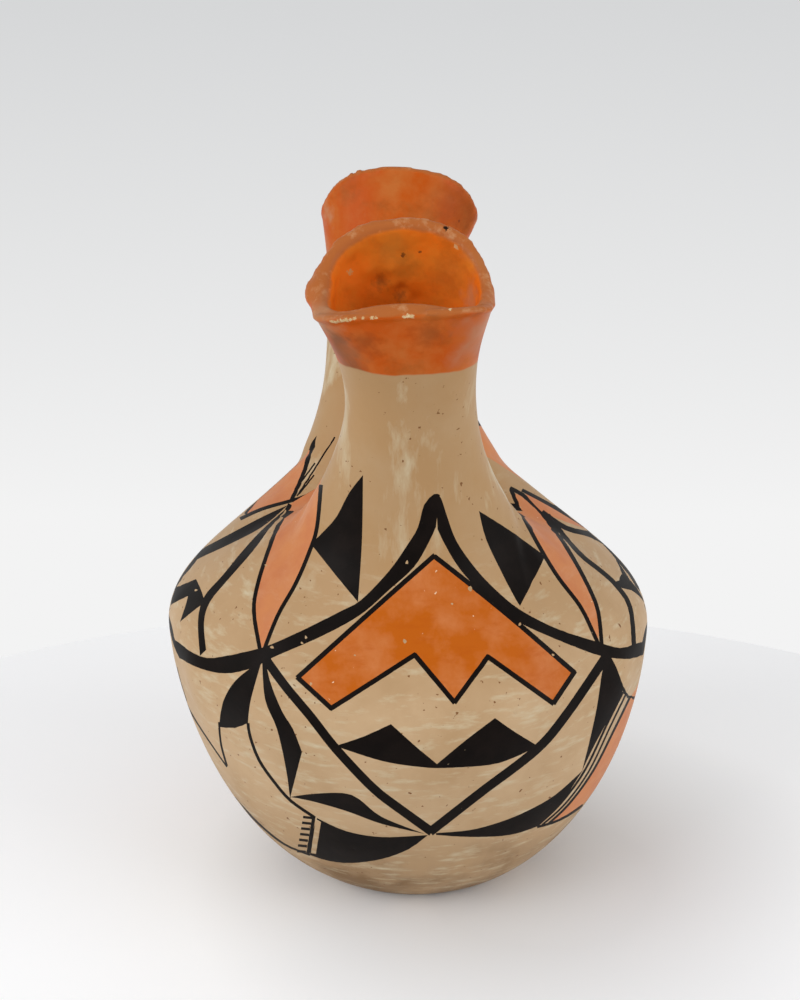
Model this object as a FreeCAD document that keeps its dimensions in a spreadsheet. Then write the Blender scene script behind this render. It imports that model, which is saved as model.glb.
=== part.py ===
import FreeCAD, Part
import math
import os

# Wedding vase: one hand-built, fired clay vessel with a round belly, two flaring
# spouts that grow out of its shoulder and a bridge handle between the spouts.
# Millimetres, +Z up, origin at the middle of the flat foot, front spout towards -Y.

V = FreeCAD.Vector

doc = FreeCAD.newDocument("wedding_vase")
sheet = doc.addObject("Spreadsheet::Sheet", "Sizes")

sizes = [
    ("belly_radius", 81.0),
    ("belly_height", 88.0),
    ("shoulder_rise", 36.5),
    ("belly_low", -10.0),
    ("wall", 5.2),
    ("lip", 3.6),
    ("floor_thickness", 8.0),
    ("waist_rise", 57.5),
    ("waist_half_width", 19.9),
    ("waist_half_depth", 18.0),
    ("waist_offset", 41.5),
    ("rim_rise", 31.0),
    ("rim_half_width", 27.1),
    ("rim_half_depth", 21.5),
    ("rim_offset", 51.5),
    ("hood_rise", 18.0),
    ("root_flare", 6.0),
    ("root_blend", 26.0),
    ("front_waist_shift", 0.7),
    ("front_rim_shift", -2.0),
    ("rear_waist_shift", -8.2),
    ("rear_rim_shift", -2.3),
    ("front_rim_tilt", 3.5),
    ("rear_rim_tilt", -4.0),
    ("foot_shift", 2.3),
    ("shoulder_shift", -3.0),
    ("bridge_rise", 21.0),
    ("bridge_root_rise", 13.0),
    ("bridge_half_width", 10.0),
    ("bridge_half_thickness", 6.0),
    ("bridge_flare", 1.45),
    ("foot_plate", 200.0),
]

# Each height follows from the one below it.
heights = [
    ("shoulder_top", "=belly_height + shoulder_rise"),
    ("waist_height", "=shoulder_top + waist_rise"),
    ("rim_height", "=waist_height + rim_rise"),
    ("bridge_height", "=waist_height + bridge_rise"),
    ("bridge_root_height", "=waist_height + bridge_root_rise"),
]

row = 1
for alias, value in sizes + heights:
    sheet.set("A%d" % row, alias)
    sheet.set("B%d" % row, str(value))
    sheet.setAlias("B%d" % row, alias)
    row += 1
doc.recompute()


def size(alias):
    return float(sheet.get(alias))


# Smooth union of two signed depths: the larger one, rounded where they are close.
def smooth_max(first, second, reach):
    near = max(reach - abs(first - second), 0.0) / reach
    return max(first, second) + near * near * reach / 4.0


# Depth below the clay surface at a point: positive inside, zero on the surface.
# The skin is drawn in by inset for the hollow, and by lip at the rims, and its floor
# is raised to low.
class Form:
    upper_power = 1.75
    lower_power = 1.75
    upper_ring = 2.0
    lower_ring = 2.44
    flare_power = 1.6
    hood_flare = 0.12
    hood_fade = 8.0
    root_fade = 0.6
    root_share = 0.42
    root_depth_share = 0.65
    shift_fade = 0.4
    corner_power = 1.4

    def __init__(self, inset, lip, low):
        self.inset = inset
        self.radius = size("belly_radius") - inset
        self.middle = size("belly_height")
        self.top = size("shoulder_top") - inset
        self.low = low
        self.waist_z = size("waist_height")
        self.rim_z = size("rim_height")
        self.waist_a = size("waist_half_width") - inset
        self.waist_b = size("waist_half_depth") - inset
        self.rim_a = size("rim_half_width") - lip
        self.rim_b = size("rim_half_depth") - lip
        self.waist_y = size("waist_offset")
        self.rim_y = size("rim_offset")
        self.root_z = self.middle + self.root_share * (self.top - self.middle)
        self.root_flare = size("root_flare")
        self.blend = size("root_blend")
        self.foot_shift = size("foot_shift")
        self.shoulder_shift = size("shoulder_shift")
        self.front = (size("front_waist_shift"), size("front_rim_shift"))
        self.rear = (size("rear_waist_shift"), size("rear_rim_shift"))

    def belly(self, x, y, z):
        above = (z - self.middle) / (self.top - self.middle)
        lean = self.foot_shift * max(1.0 - z / self.middle, 0.0)
        lean += self.shoulder_shift * min(max(above, 0.0), 1.0)
        if z >= self.middle:
            part = above
            power, ring = self.upper_power, self.upper_ring
        else:
            part = (self.middle - z) / (self.middle - self.low)
            power, ring = self.lower_power, self.lower_ring
        around = math.hypot(x - lean, y) / self.radius
        total = around ** ring + part ** power
        return (1.0 - total ** (1.0 / max(power, ring))) * self.radius

    def neck(self, x, y, z):
        climb = (z - self.waist_z) / (self.rim_z - self.waist_z)
        flare = min(max(climb, 0.0), 1.0) ** self.flare_power
        flare += self.hood_flare * (1.0 - math.exp(-self.hood_fade * max(climb - 1.0, 0.0)))
        root = self.root_flare * min(max(-climb, 0.0), 2.0) ** 2
        half_width = self.waist_a + (self.rim_a - self.waist_a) * flare + root
        half_depth = self.waist_b + (self.rim_b - self.waist_b) * flare
        half_depth += self.root_depth_share * root
        centre = self.waist_y + (self.rim_y - self.waist_y) * max(climb, -2.0)
        low_shift, high_shift = self.front if y < 0 else self.rear
        share = min(max(climb, 0.0), 1.0)
        fade = min(max(1.0 + self.shift_fade * climb, 0.0), 1.0)
        shift = (low_shift + (high_shift - low_shift) * share) * fade
        across = abs(x - shift) / half_width
        outward = (abs(y) - centre) / half_depth
        power = 2.0
        if outward > 0:
            power += self.corner_power * min(flare, 1.0)
        away = (across ** power + abs(outward) ** power) ** (1.0 / power)
        depth = (1.0 - away) * min(half_width, half_depth)
        return depth - self.root_fade * max(self.root_z - z, 0.0)

    def depth(self, x, y, z):
        return smooth_max(self.belly(x, y, z), self.neck(x, y, z), self.blend)

    # Height of the saddle between the two necks, on the axis.
    def saddle(self):
        heights = [0.5 * step for step in range(int(2.0 * self.rim_z))]
        return max(z for z in heights if self.depth(0.0, 0.0, z) > 0.0)


RAYS = 240
POINTS = 40
REACH = 400
NECK_LEVELS = 5
NECK_LIFT = 7.0
LOW_TILT = 9.0
HIGH_TILT = 16.0
FAN_LIMIT = 84
FAN_STEP = 12
OUTER_OVER = 22.0
HOLLOW_OVER = 26.0


# Closed outline of the form on the plane through start that holds X and heading.
def outline(form, start, heading):
    def place(along, side):
        return V(side, start.y + heading.y * along, start.z + heading.z * along)

    def inside(along, side):
        spot = place(along, side)
        return form.depth(spot.x, spot.y, spot.z) > 0.0

    marks = [step for step in range(REACH) if inside(step, 0.0)]
    near = marks[0]
    far = next(step for step in range(near, REACH) if not inside(step, 0.0))
    middle = 0.5 * (near + far)
    ring = []
    for index in range(RAYS):
        angle = 2.0 * math.pi * index / RAYS
        along = -math.cos(angle)
        side = math.sin(angle)
        steps = range(2, REACH, 2)
        long = next(step for step in steps if not inside(middle + along * step, side * step))
        short = long - 2.0
        for _ in range(24):
            half = 0.5 * (short + long)
            if inside(middle + along * half, side * half):
                short = half
            else:
                long = half
        ring.append(place(middle + along * short, side * short))
    return spread(ring)


# The same closed outline as a fixed number of points at equal steps along it.
def spread(ring):
    count = len(ring)
    lengths = [0.0]
    for index in range(count):
        step = ring[index].distanceToPoint(ring[(index + 1) % count])
        lengths.append(lengths[-1] + step)
    points = []
    at = 0
    for index in range(POINTS):
        target = lengths[-1] * index / POINTS
        while lengths[at + 1] < target:
            at += 1
        share = (target - lengths[at]) / (lengths[at + 1] - lengths[at])
        points.append(ring[at] + (ring[(at + 1) % count] - ring[at]) * share)
    return points


# Solid whose side is one smooth surface through the closed outlines, in order.
def skin(rings):
    count = len(rings[0])
    turns = [index / count for index in range(count + 1)]
    curves = []
    for ring in rings:
        curve = Part.BSplineCurve()
        curve.interpolate(Points=ring, PeriodicFlag=True, Parameters=turns)
        curves.append(curve)
    middles = [sum(ring, V()) * (1.0 / count) for ring in rings]
    steps = [0.0]
    for first, second in zip(middles, middles[1:]):
        steps.append(steps[-1] + first.distanceToPoint(second))
    steps = [step / steps[-1] for step in steps]
    rails = []
    for index in range(curves[0].NbPoles):
        rail = Part.BSplineCurve()
        rail.interpolate(Points=[curve.getPole(index + 1) for curve in curves], Parameters=steps)
        rails.append(rail)
    ring, rail = curves[0], rails[0]
    surface = Part.BSplineSurface()
    surface.buildFromPolesMultsKnots(
        [each.getPoles() for each in rails],
        ring.getMultiplicities(), rail.getMultiplicities(),
        ring.getKnots(), rail.getKnots(),
        True, False, ring.Degree, rail.Degree,
    )
    side = surface.toShape()
    face = side.Faces[0]
    faces = [face]
    for edge in face.Edges:
        if edge.isClosed() and not edge.isSeam(face):
            faces.append(Part.Face(Part.Wire([edge])))
    shell = Part.makeShell(faces)
    shell.sewShape()
    return Part.makeSolid(shell)


# Outlines from the front mouth down its neck, round the belly and up the rear neck.
def vessel_rings(form, extra):
    pivot = V(0.0, 0.0, form.saddle() + size("waist_half_depth"))
    top = size("rim_height") + size("hood_rise") + extra
    bottom = pivot.z + NECK_LIFT
    front = []
    rear = []
    for index in range(NECK_LEVELS):
        share = index / (NECK_LEVELS - 1.0)
        tilt = math.radians(LOW_TILT + (HIGH_TILT - LOW_TILT) * share)
        start = V(0.0, 0.0, bottom + (top - bottom) * share)
        front.append(outline(form, start, V(0, -math.cos(tilt), -math.sin(tilt))))
        rear.append(outline(form, start, V(0, math.cos(tilt), -math.sin(tilt))))
    fan = []
    for degrees in range(-FAN_LIMIT, FAN_LIMIT + 1, FAN_STEP):
        turn = math.radians(degrees)
        fan.append(outline(form, pivot, V(0, math.sin(turn), -math.cos(turn))))
    return front[::-1] + fan + rear


# The outer skin and the hollow inside it.
outer_form = Form(0.0, 0.0, size("belly_low"))
hollow_form = Form(size("wall"), size("lip"), size("floor_thickness"))

outer = doc.addObject("Part::Feature", "OuterSkin")
outer.Shape = skin(vessel_rings(outer_form, OUTER_OVER))

hollow = doc.addObject("Part::Feature", "Hollow")
hollow.Shape = skin(vessel_rings(hollow_form, HOLLOW_OVER))


BRIDGE_STATIONS = 9


# Bridge between the necks: oval sections along a low arch, flared where they root.
def bridge_rings():
    root_y = size("waist_offset")
    root_z = size("bridge_root_height")
    crown_z = size("bridge_height")
    shifts = (0.5 * (size("front_waist_shift") + size("front_rim_shift")),
              0.5 * (size("rear_waist_shift") + size("rear_rim_shift")))
    rings = []
    for index in range(BRIDGE_STATIONS):
        share = -1.0 + 2.0 * index / (BRIDGE_STATIONS - 1.0)
        y = root_y * share
        z = crown_z - (crown_z - root_z) * share * share
        slope = -2.0 * (crown_z - root_z) * share / root_y
        length = math.hypot(1.0, slope)
        shift = shifts[0] + (shifts[1] - shifts[0]) * 0.5 * (share + 1.0)
        grow = 1.0 + (size("bridge_flare") - 1.0) * share ** 4
        half_width = size("bridge_half_width") * grow
        half_thick = size("bridge_half_thickness") * grow
        ring = []
        for step in range(POINTS):
            angle = 2.0 * math.pi * step / POINTS
            up = half_thick * math.cos(angle)
            side = half_width * math.sin(angle)
            ring.append(V(shift + side, y - slope / length * up, z + up / length))
        rings.append(ring)
    return rings


bridge = doc.addObject("Part::Feature", "Bridge")
bridge.Shape = skin(bridge_rings())


# Height of a rim across its mouth, from the outer edge to the hood beside the bridge:
# shares of the mouth's half depth outward and of the hood's rise upward.
RIM_PROFILE = [
    (2.0, 0.25),
    (1.0, 0.14),
    (0.3, 0.01),
    (0.0, 0.05),
    (-0.3, 0.36),
    (-0.5, 0.69),
    (-0.75, 1.04),
    (-1.15, 1.35),
]
CUTTER_HALF = 60.0


# Cutter above one rim: level over the outer half, rising to a hood inside. It is
# turned a little about Y, as the two mouths of a hand-built vase are never level.
def rim_cutter(side, tilt):
    rim_z = size("rim_height")
    rise = size("hood_rise")
    offset = size("rim_offset")
    depth = size("rim_half_depth")
    points = []
    for out, up in RIM_PROFILE:
        points.append(V(-CUTTER_HALF, side * (offset + out * depth), rim_z + up * rise))
    edge = Part.BSplineCurve()
    edge.interpolate(Points=points)
    ceiling = rim_z + rise + CUTTER_HALF
    first, last = points[0], points[-1]
    far = V(-CUTTER_HALF, last.y, ceiling)
    near = V(-CUTTER_HALF, first.y, ceiling)
    rest = Part.makePolygon([last, far, near, first])
    wire = Part.Wire([edge.toShape()] + rest.Edges)
    block = Part.Face(wire).extrude(V(2.0 * CUTTER_HALF, 0.0, 0.0))
    block.rotate(V(0.0, 0.0, rim_z), V(0.0, 1.0, 0.0), -tilt)
    return block


front_cutter = doc.addObject("Part::Feature", "FrontRimCutter")
front_cutter.Shape = rim_cutter(-1.0, size("front_rim_tilt"))
rear_cutter = doc.addObject("Part::Feature", "RearRimCutter")
rear_cutter.Shape = rim_cutter(1.0, size("rear_rim_tilt"))

foot_cutter = doc.addObject("Part::Box", "FootCutter")
foot_cutter.setExpression("Length", "Sizes.foot_plate")
foot_cutter.setExpression("Width", "Sizes.foot_plate")
foot_cutter.setExpression("Height", "Sizes.foot_plate / 10")
foot_cutter.setExpression("Placement.Base.x", "-Sizes.foot_plate / 2")
foot_cutter.setExpression("Placement.Base.y", "-Sizes.foot_plate / 2")
foot_cutter.setExpression("Placement.Base.z", "-Sizes.foot_plate / 10")

clay = doc.addObject("Part::Fuse", "ClayWithBridge")
clay.Base = outer
clay.Tool = bridge
doc.recompute()

hollowed = doc.addObject("Part::Cut", "Hollowed")
hollowed.Base = clay
hollowed.Tool = hollow
doc.recompute()

rimmed_front = doc.addObject("Part::Cut", "FrontRim")
rimmed_front.Base = hollowed
rimmed_front.Tool = front_cutter
rimmed_rear = doc.addObject("Part::Cut", "RearRim")
rimmed_rear.Base = rimmed_front
rimmed_rear.Tool = rear_cutter

vase = doc.addObject("Part::Cut", "Vase")
vase.Label = "vase"
vase.Base = rimmed_rear
vase.Tool = foot_cutter
vase.Placement = FreeCAD.Placement(V(0, 0, 0), FreeCAD.Rotation())
doc.recompute()

for item in doc.Objects:
    if "Invalid" in item.State or "Error" in item.State:
        raise RuntimeError("object failed: " + item.Label)
    if hasattr(item, "Shape") and (item.Shape.isNull() or not item.Shape.isValid()):
        raise RuntimeError("shape not valid: " + item.Label)
if len(vase.Shape.Solids) != 1:
    raise RuntimeError("the vase is not one solid")

os.makedirs("parts", exist_ok=True)
vase.Shape.exportStep("parts/vase.step")
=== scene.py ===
"""Wedding vase: a hand-built, painted clay vessel with two spouts and a bridge handle.

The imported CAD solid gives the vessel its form. Here it gets softened lips, the small
unevenness of coil building, its painted pattern and its stone-polished slip.
"""

import logging
import math
from collections import deque
from dataclasses import dataclass, field
from enum import Enum

import bmesh
import bpy
import numpy as np
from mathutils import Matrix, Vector, noise
from mathutils.bvhtree import BVHTree
from mathutils.geometry import delaunay_2d_cdt


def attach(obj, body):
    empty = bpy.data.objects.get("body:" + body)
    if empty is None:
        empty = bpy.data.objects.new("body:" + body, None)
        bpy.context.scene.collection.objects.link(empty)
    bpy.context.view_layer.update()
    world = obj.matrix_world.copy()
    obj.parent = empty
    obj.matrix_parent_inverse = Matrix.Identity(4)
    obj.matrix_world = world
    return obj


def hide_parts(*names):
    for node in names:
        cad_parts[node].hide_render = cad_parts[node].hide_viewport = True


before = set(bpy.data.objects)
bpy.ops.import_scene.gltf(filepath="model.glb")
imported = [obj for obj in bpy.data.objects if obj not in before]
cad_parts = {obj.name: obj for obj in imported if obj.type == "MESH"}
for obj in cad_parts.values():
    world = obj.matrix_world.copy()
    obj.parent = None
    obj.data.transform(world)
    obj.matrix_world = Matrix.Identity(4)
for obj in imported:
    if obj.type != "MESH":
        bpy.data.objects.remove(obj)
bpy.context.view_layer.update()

log = logging.getLogger("wedding_vase")
logging.basicConfig(level=logging.INFO, format="%(name)s: %(message)s")

MM = 0.001

Pixel = tuple[float, float]
Stroke = tuple[Pixel, ...]
Spot = tuple[float, float]
Limits = tuple[float, float]
Tree = bpy.types.NodeTree
Socket = bpy.types.NodeSocket


class Paint(Enum):
    """The colours that the potter laid on the clay, in the order of the material slots."""

    SLIP = 0
    BLACK = 1
    ORANGE = 2
    SALMON = 3
    BARE = 4


@dataclass(frozen=True)
class PhotoView:
    """The camera of the photograph, measured in its 800 by 1000 pixel frame."""

    width_px: float = 800.0
    height_px: float = 1000.0
    focal_px: float = 1900.0
    axis_px: float = 408.2
    elevation_deg: float = 21.7
    distance: float = 633.0 * MM
    target_height: float = 128.2 * MM
    sensor_mm: float = 36.0
    edge_steps: int = 60

    def eye(self) -> Vector:
        """Where the camera stands."""
        rise = math.radians(self.elevation_deg)
        height = self.target_height + self.distance * math.sin(rise)
        return Vector((0.0, -self.distance * math.cos(rise), height))

    def ray(self, pixel: Pixel) -> Vector:
        """Gives the direction in which the camera sees a pixel.

        Args:
            pixel: A place in the photograph's frame.

        Returns:
            The direction from the eye, of length one.
        """
        rise = math.radians(self.elevation_deg)
        forward = Vector((0.0, math.cos(rise), -math.sin(rise)))
        up = Vector((0.0, math.sin(rise), math.cos(rise)))
        right = Vector((1.0, 0.0, 0.0))
        across = (pixel[0] - self.axis_px) / self.focal_px
        down = (pixel[1] - 0.5 * self.height_px) / self.focal_px
        return (forward + across * right - down * up).normalized()

    def clay_at(self, tree: BVHTree, pixel: Pixel) -> Vector:
        """Finds what the camera sees at a pixel.

        Args:
            tree: The clay's surface.
            pixel: A place in the photograph's frame.

        Returns:
            The place on the clay. A pixel beside the clay stands for the edge of the
            clay next to it.
        """
        inward = math.copysign(1.0, self.axis_px - pixel[0])
        for step in range(self.edge_steps):
            hit = tree.ray_cast(self.eye(), self.ray((pixel[0] + inward * step, pixel[1])))[0]
            if hit is not None:
                return hit
        raise ValueError(f"no clay near pixel {pixel}")

    def place(self) -> None:
        """Adds the camera to the scene."""
        camera = bpy.data.cameras.new("photo_camera")
        camera.sensor_fit = "HORIZONTAL"
        camera.sensor_width = self.sensor_mm
        camera.lens = self.focal_px / self.width_px * self.sensor_mm
        camera.shift_x = (0.5 * self.width_px - self.axis_px) / self.width_px
        holder = bpy.data.objects.new("photo_camera", camera)
        holder.location = self.eye()
        holder.rotation_euler = (math.radians(90.0 - self.elevation_deg), 0.0, 0.0)
        bpy.context.scene.collection.objects.link(holder)
        bpy.context.scene.camera = holder


@dataclass(frozen=True)
class Area:
    """A painted field. Each stroke is drawn as a smooth line, and strokes meet at corners."""

    paint: Paint
    strokes: tuple[Stroke, ...]
    front_only: bool = False
    side_turn: float | None = None


@dataclass(frozen=True)
class Line:
    """A painted black line of one width, through the points of a smooth stroke."""

    width_px: float
    stroke: Stroke
    paint: Paint = Paint.BLACK
    front_only: bool = False
    side_turn: float | None = None


def lines(width_px: float, *strokes: Stroke) -> tuple[Line, ...]:
    """Gives several lines of one width."""
    return tuple(Line(width_px, stroke) for stroke in strokes)


BLACK, ORANGE, SALMON, SLIP = Paint.BLACK, Paint.ORANGE, Paint.SALMON, Paint.SLIP

# The turn at which what runs round the side meets its copy from the rear, and the turn
# at which a field ends whose far edge the photograph doesn't show.
MEETING_TURN = 92.0
HIDDEN_EDGE_TURN = 86.0

# The garland that swings round the belly, and the dark shapes that hang on it.
GARLAND = (
    Area(BLACK, (
        ((440, 495), (434, 494), (424, 505), (418, 527), (408, 544), (389, 571), (361, 600), (341, 611),
         (303, 630), (272, 644), (257, 649), (230, 655), (207, 658), (188, 650), (175, 640), (150, 634)),
        ((150, 651), (172, 655), (194, 666), (213, 672), (232, 673), (255, 667), (274, 657), (322, 636),
         (360, 615), (389, 590), (414, 567), (429, 542), (438, 522)),
    ), False, MEETING_TURN),
    Area(BLACK, (
        ((436, 494), (441, 498), (448, 519), (457, 542), (476, 569), (496, 590), (519, 609), (553, 627),
         (591, 640), (620, 648), (635, 644), (665, 636)),
        ((665, 652), (643, 655), (630, 659), (601, 656), (563, 642), (524, 625), (507, 613), (476, 587),
         (457, 565), (442, 539), (435, 523)),
    ), False, MEETING_TURN),
    Area(BLACK, (
        ((363, 475), (362, 540), (358, 602)),
        ((358, 602), (338, 578), (311, 544)),
        ((311, 544), (326, 529), (337, 516), (349, 493), (363, 475)),
    )),
    Area(BLACK, (
        ((479, 511), (512, 532), (545, 556)),
        ((545, 556), (538, 571), (520, 606)),
        ((520, 606), (515, 598), (503, 575), (486, 539), (479, 511)),
    )),
)

# The leaves and lines over the garland, left and right of the front neck.
LEAVES = (
    Area(SALMON, (
        ((314, 436), (302, 447), (282, 471), (264, 492), (246, 514)),
        ((246, 514), (269, 505), (290, 501)),
        ((290, 501), (303, 474), (311, 451), (314, 436)),
    )),
    Line(2.5, ((308, 442), (302, 447), (283, 470), (264, 491), (245, 514))),
    Line(4, ((315, 435), (311, 450), (303, 474), (291, 501))),
    Line(3.5, ((240, 519), (262, 509), (290, 501), (306, 496), (321, 487))),
    *lines(1.6, ((297, 496), (335, 437)), ((298, 486), (315, 463)), ((299, 494), (314, 475))),
    Area(SALMON, (
        ((320, 486), (303, 496), (290, 504)),
        ((290, 504), (279, 525), (271, 546), (260, 583), (255, 611), (260, 648)),
        ((260, 648), (265, 644), (277, 615), (295, 583), (309, 550), (316, 527), (320, 486)),
    )),
    *lines(
        4,
        ((290, 504), (278, 526), (270, 546), (258, 583), (254, 611), (260, 650)),
        ((321, 485), (317, 527), (310, 550), (296, 583), (278, 615), (264, 650)),
    ),
    Area(BLACK, (
        ((288, 505), (262, 517), (226, 536), (200, 550), (186, 560)),
        ((186, 566), (202, 557), (230, 544), (262, 527), (288, 505)),
    )),
    Area(BLACK, (
        ((288, 507), (270, 528), (253, 551), (226, 582), (210, 602), (204, 623), (207, 656)),
        ((200, 656), (198, 621), (204, 597), (222, 576), (246, 547), (266, 526), (288, 507)),
    )),
    Area(BLACK, (
        ((201, 554), (190, 569), (170, 590)),
        ((170, 590), (180, 586), (196, 579)),
        ((196, 579), (201, 590), (205, 602)),
        ((205, 602), (192, 612), (180, 622)),
        ((180, 622), (186, 604), (188, 596)),
        ((188, 596), (176, 602), (158, 612)),
        ((158, 612), (172, 580), (186, 563)),
    )),
    Area(SALMON, (
        ((513, 493), (522, 512), (540, 546), (559, 577), (582, 606), (593, 630), (598, 642)),
        ((598, 642), (599, 625), (597, 611), (587, 586), (572, 558), (553, 527), (534, 505)),
        ((534, 505), (524, 497), (513, 493)),
    )),
    *lines(
        4,
        ((511, 489), (521, 512), (539, 546), (558, 577), (580, 606), (592, 630), (600, 648)),
        ((534, 504), (553, 527), (573, 558), (588, 586), (598, 611), (602, 648)),
        ((510, 488), (523, 495), (534, 505), (546, 514)),
    ),
    Area(SALMON, (
        ((524, 492), (545, 503), (572, 519), (590, 530)),
        ((590, 530), (566, 522), (542, 512)),
        ((542, 512), (532, 502), (524, 492)),
    )),
    Line(3.5, ((522, 490), (545, 502), (574, 519), (596, 534))),
    Line(5, ((542, 512), (566, 528), (591, 535), (612, 547))),
    Line(4.5, ((548, 515), (578, 552), (601, 571), (616, 585), (630, 607), (634, 646))),
    Area(BLACK, (
        ((608, 545), (624, 562), (641, 583)),
        ((641, 583), (648, 598), (650, 612)),
        ((650, 612), (640, 597), (631, 590)),
        ((631, 590), (622, 588), (614, 583)),
        ((614, 583), (622, 574), (608, 545)),
    )),
)

# The stepped cloud in the middle of the front, and the two hills under it.
CLOUD = (
    Area(ORANGE, (
        ((435, 557), (366, 616), (299, 678)),
        ((299, 678), (331, 707)),
        ((331, 707), (374, 681), (415, 655)),
        ((415, 655), (455, 701)),
        ((455, 701), (488, 657)),
        ((488, 657), (553, 702)),
        ((553, 702), (574, 673)),
        ((574, 673), (515, 621), (471, 585), (435, 557)),
    )),
    *lines(
        5,
        ((435, 555), (366, 616), (297, 678)),
        ((297, 677), (332, 709)),
        ((330, 709), (374, 681), (416, 654)),
        ((414, 654), (455, 703)),
        ((454, 703), (489, 655)),
        ((487, 656), (554, 704)),
        ((553, 704), (575, 671)),
        ((575, 673), (515, 621), (471, 585), (434, 556)),
    ),
    Area(BLACK, (
        ((335, 746), (362, 737), (391, 724)),
        ((391, 724), (413, 744), (437, 764)),
        ((437, 764), (466, 740), (495, 718)),
        ((495, 718), (515, 732), (538, 746)),
        ((538, 746), (513, 758), (489, 765), (445, 768), (420, 767), (382, 761), (335, 746)),
    )),
)

# The big pointed field round the cloud, and what hangs between it and the foot.
LOWER = (
    *lines(
        9,
        ((261, 652), (267, 661), (286, 687), (311, 717), (337, 750), (373, 788), (400, 809), (432, 832)),
        ((430, 832), (480, 793), (536, 750), (566, 715), (603, 661), (609, 650)),
    ),
    Area(BLACK, (
        ((262, 660), (236, 680), (223, 702), (219, 727)),
        ((219, 727), (235, 728), (248, 723)),
        ((248, 723), (249, 711), (252, 695), (262, 660)),
    )),
    Line(2, ((219, 722), (221, 744), (227, 766))),
    Line(1.4, ((227, 767), (209, 741), (193, 716), (181, 692), (174, 667))),
    Line(3, ((248, 723), (250, 736), (259, 760), (275, 783), (291, 801), (314, 817))),
    Area(BLACK, (
        ((262, 656), (265, 699), (277, 729), (286, 769), (290, 799)),
        ((290, 799), (294, 783), (302, 752)),
        ((302, 752), (293, 729), (282, 711), (270, 681), (265, 656)),
        ((265, 656), (262, 656)),
    )),
    Area(BLACK, (
        ((290, 797), (311, 794), (343, 793), (359, 799), (382, 817), (425, 834)),
        ((425, 834), (382, 824), (346, 811), (311, 801), (290, 797)),
    )),
    Area(BLACK, (
        ((317, 818), (346, 831), (382, 837), (428, 835)),
        ((428, 835), (409, 849), (382, 859), (352, 863), (329, 861), (310, 855)),
        ((310, 855), (312, 836), (317, 818)),
    )),
    Area(SLIP, (
        ((316, 819), (321, 822)),
        ((321, 822), (316, 854)),
        ((316, 854), (311, 853)),
        ((311, 853), (316, 819)),
    )),
    Line(3.5, ((314, 816), (308, 855))),
    Line(2, ((310, 855), (284, 844), (258, 823), (234, 797))),
    Area(BLACK, (
        ((436, 833), (470, 830), (500, 822), (527, 811), (555, 795), (583, 770)),
        ((583, 770), (561, 803), (538, 826)),
        ((538, 826), (522, 832), (502, 836), (470, 837), (436, 835)),
        ((436, 835), (436, 833)),
    )),
    Area(BLACK, (
        ((607, 654), (602, 672), (597, 706), (590, 739), (582, 771)),
        ((582, 771), (594, 746), (608, 720), (623, 690)),
        ((623, 690), (615, 668), (607, 654)),
    )),
    Area(SALMON, (
        ((631, 697), (615, 728), (593, 771), (569, 804), (547, 824)),
        ((547, 824), (566, 815), (582, 805), (601, 785), (618, 758), (632, 726), (639, 702)),
        ((639, 702), (631, 697)),
    ), False, HIDDEN_EDGE_TURN),
    Line(2.2, ((623, 692), (608, 722), (585, 770), (561, 803), (537, 826))),
    Line(1.8, ((626, 694), (611, 725), (589, 771), (565, 804), (542, 825))),
    Line(2.2, ((630, 697), (615, 728), (593, 771), (569, 804), (547, 825))),
    Line(2.4, ((537, 827), (552, 823), (567, 816), (583, 805))),
    Line(3, ((608, 655), (615, 668), (622, 687), (628, 697), (637, 698))),
)

# The comb of short ticks beside the stripe at the lower left.
COMB_TOP: Pixel = (312, 818)
COMB_FOOT: Pixel = (306, 852)
COMB_TICKS = 7
COMB_TICK_PX = 9.0
COMB_RISE_PX = 1.0
COMB_WIDTH_PX = 2.6


def comb() -> tuple[Line, ...]:
    """Gives the ticks of the comb, evenly spaced down its bar."""
    ticks = []
    for index in range(COMB_TICKS):
        share = index / (COMB_TICKS - 1)
        x = COMB_TOP[0] + (COMB_FOOT[0] - COMB_TOP[0]) * share
        y = COMB_TOP[1] + (COMB_FOOT[1] - COMB_TOP[1]) * share
        ticks.append(Line(COMB_WIDTH_PX, ((x, y), (x - COMB_TICK_PX, y - COMB_RISE_PX))))
    return tuple(ticks)


PATTERN = GARLAND + LEAVES + CLOUD + LOWER + comb()


@dataclass(frozen=True)
class Dent:
    """A hollow pressed or knocked into the clay, with a negative depth for a lump."""

    pixel: Pixel
    reach_mm: float
    depth_mm: float


@dataclass(frozen=True)
class Mark:
    """A stain, chip or speck on the clay, a patch of painted shade or a painted reflection, at what the
    photograph shows in one place.
    """

    pixel: Pixel
    reach_mm: float
    colour: str
    strength: float = 1.0


PlacedMark = tuple[Vector, Mark]

# Hollows and lumps in the front mouth and knocks along its lip.
DENTS = (
    Dent((379, 280), 3.6, 1.2),
    Dent((402, 290), 2.8, 1.1),
    Dent((415, 299), 2.6, 0.8),
    Dent((394, 283), 2.4, -0.6),
    Dent((392, 268), 3.0, -0.8),
    Dent((368, 270), 3.0, -0.6),
    Dent((405, 301), 2.4, -0.6),
    Dent((405, 255), 3.0, 0.5),
    Dent((350, 285), 3.0, -0.4),
    Dent((341, 322), 2.2, 0.6),
    Dent((366, 320), 1.8, 0.5),
    Dent((410, 317), 1.6, 0.5),
    Dent((447, 229), 1.0, 0.8),
    Dent((341, 345), 6.0, 0.9),
    Dent((320, 290), 8.0, -2.2),
    Dent((470, 225), 6.0, -1.0),
)
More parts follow.
